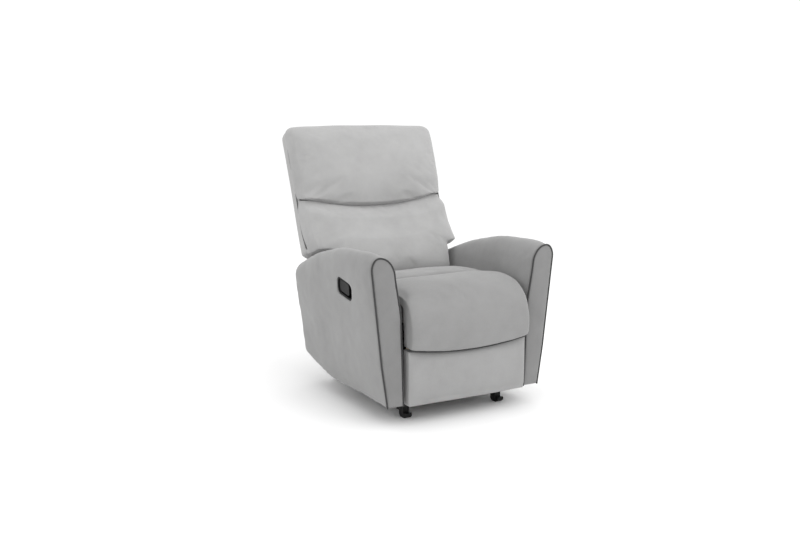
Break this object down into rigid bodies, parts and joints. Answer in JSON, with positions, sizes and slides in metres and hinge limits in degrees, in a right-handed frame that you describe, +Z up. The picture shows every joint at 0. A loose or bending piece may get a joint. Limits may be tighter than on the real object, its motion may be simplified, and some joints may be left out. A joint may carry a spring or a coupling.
{
  "type": "recliner armchair",
  "caption": "Upholstered manual recliner armchair with a fold-out footrest, a reclining padded back, flared track arms and a pull handle in one arm.",
  "frame": {"origin": "on the floor under the middle of the chair as it stands upright with its footrest closed", "axes": "+Z up; -Y is the way the sitter faces; +X to the sitter's left, so the release handle is on the -X side"},
  "size_m": [0.7622, 0.9676, 1.0328],
  "materials": {
    "grey_microfibre_arms": "brushed soft nap",
    "grey_microfibre_seat": "brushed soft nap",
    "grey_microfibre_back": "brushed soft nap",
    "grey_microfibre_footrest": "brushed soft nap",
    "grey_microfibre_rear": "brushed soft nap",
    "webbing": "woven",
    "frame_timber": "sawn, unfinished",
    "black_glide": "moulded",
    "handle_plastic": "fine grain",
    "plain_steel": "plain",
    "cable_jacket": "satin",
    "mechanism_steel": "satin black paint"
  },
  "bodies": {
    "base": {"arm_board_left": "frame_timber", "arm_board_right": "frame_timber", "arm_cover_left": "grey_microfibre_arms", "arm_cover_right": "grey_microfibre_arms", "arm_front_panel_left": "grey_microfibre_arms", "arm_front_panel_right": "grey_microfibre_arms", "cable_bracket": "mechanism_steel", "floor_rail_left": "mechanism_steel", "floor_rail_right": "mechanism_steel", "front_cross_tube": "mechanism_steel", "front_toe_glide_left": "black_glide", "front_toe_glide_right": "black_glide", "handle_cup_right": "handle_plastic", "handle_pin_right": "plain_steel", "rear_cross_tube": "mechanism_steel", "rear_glide_left": "black_glide", "rear_glide_right": "black_glide", "rear_panel": "grey_microfibre_rear", "release_cable": "cable_jacket"},
    "handle": {"handle_lever_right": "handle_plastic"},
    "front_swing_links": {"front_swing_link_left": "mechanism_steel", "front_swing_link_right": "mechanism_steel"},
    "rear_swing_links": {"rear_swing_link_left": "mechanism_steel", "rear_swing_link_right": "mechanism_steel"},
    "seat": {"seat_cushion": "grey_microfibre_seat", "seat_front_rail": "frame_timber", "seat_rear_rail": "frame_timber", "seat_side_plate_left": "mechanism_steel", "seat_side_plate_right": "mechanism_steel", "seat_side_rail_left": "frame_timber", "seat_side_rail_right": "frame_timber", "seat_webbing_1": "webbing", "seat_webbing_2": "webbing", "seat_webbing_3": "webbing"},
    "back": {"back_bracket_left": "mechanism_steel", "back_bracket_right": "mechanism_steel", "back_ear_rail": "frame_timber", "back_lower_rail": "frame_timber", "back_post_left": "frame_timber", "back_post_right": "frame_timber", "back_shell": "grey_microfibre_back", "back_top_rail": "frame_timber", "back_webbing_1": "webbing", "back_webbing_2": "webbing", "head_pad": "grey_microfibre_back", "lumbar_pad": "grey_microfibre_back"},
    "drive_links": {"drive_link_left": "mechanism_steel", "drive_link_right": "mechanism_steel", "torque_tube": "mechanism_steel"},
    "idler_links": {"idler_link_left": "mechanism_steel", "idler_link_right": "mechanism_steel"},
    "carrier_links": {"carrier_link_left": "mechanism_steel", "carrier_link_right": "mechanism_steel"},
    "control_links": {"control_link_left": "mechanism_steel", "control_link_right": "mechanism_steel"},
    "footrest": {"footrest_board": "frame_timber", "footrest_bracket_left": "mechanism_steel", "footrest_bracket_right": "mechanism_steel", "footrest_lower_pad": "grey_microfibre_footrest", "footrest_upper_pad": "grey_microfibre_footrest"}
  },
  "joints": [
    {"name": "back_recline", "type": "hinge", "parent": "seat", "child": "back", "pos_m": [0, 0.18, 0.3], "axis": [-1, 0, 0], "range_deg": [0, 36]},
    {"name": "front_swing", "type": "hinge", "parent": "base", "child": "front_swing_links", "pos_m": [0, -0.19, 0.11], "axis": [1, 0, 0], "range_deg": [0, 24.1]},
    {"name": "rear_swing", "type": "hinge", "parent": "base", "child": "rear_swing_links", "pos_m": [0, 0.11, 0.11], "axis": [1, 0, 0], "range_deg": [0, 24.1]},
    {"name": "seat_level", "type": "hinge", "parent": "front_swing_links", "child": "seat", "pos_m": [0, -0.16297, 0.23716], "axis": [-1, 0, 0], "range_deg": [0, 24.1]},
    {"name": "footrest_extend", "type": "hinge", "parent": "seat", "child": "footrest", "pos_m": [0, -0.497, 0.492], "axis": [-1, 0, 0], "range_deg": [0, 90]},
    {"name": "drive_swing", "type": "hinge", "parent": "seat", "child": "drive_links", "pos_m": [0, -0.29, 0.3], "axis": [-1, 0, 0], "range_deg": [0, 90.2]},
    {"name": "idler_swing", "type": "hinge", "parent": "seat", "child": "idler_links", "pos_m": [0, -0.235, 0.3], "axis": [-1, 0, 0], "range_deg": [0, 90.2]},
    {"name": "carrier_level", "type": "hinge", "parent": "drive_links", "child": "carrier_links", "pos_m": [0, -0.178, 0.153], "axis": [1, 0, 0], "range_deg": [0, 90.2]},
    {"name": "control_level", "type": "hinge", "parent": "drive_links", "child": "control_links", "pos_m": [0, -0.178, 0.103], "axis": [1, 0, 0], "range_deg": [0, 90.2]},
    {"name": "handle_pull", "type": "hinge", "parent": "base", "child": "handle", "pos_m": [-0.36284, -0.15716, 0.47216], "axis": [0.1077, 0.1737, -0.9789], "range_deg": [0, 28], "stiffness_Nm_per_rad": 0.4, "springref_deg": -11.46}
  ],
  "couplings": [
    {"joint": "front_swing", "follows": "back_recline", "ratio": 0.66667},
    {"joint": "rear_swing", "follows": "back_recline", "ratio": 0.66667},
    {"joint": "seat_level", "follows": "back_recline", "ratio": 0.66667},
    {"joint": "drive_swing", "follows": "footrest_extend", "ratio": 1},
    {"joint": "idler_swing", "follows": "footrest_extend", "ratio": 1},
    {"joint": "carrier_level", "follows": "footrest_extend", "ratio": 1},
    {"joint": "control_level", "follows": "footrest_extend", "ratio": 1}
  ]
}
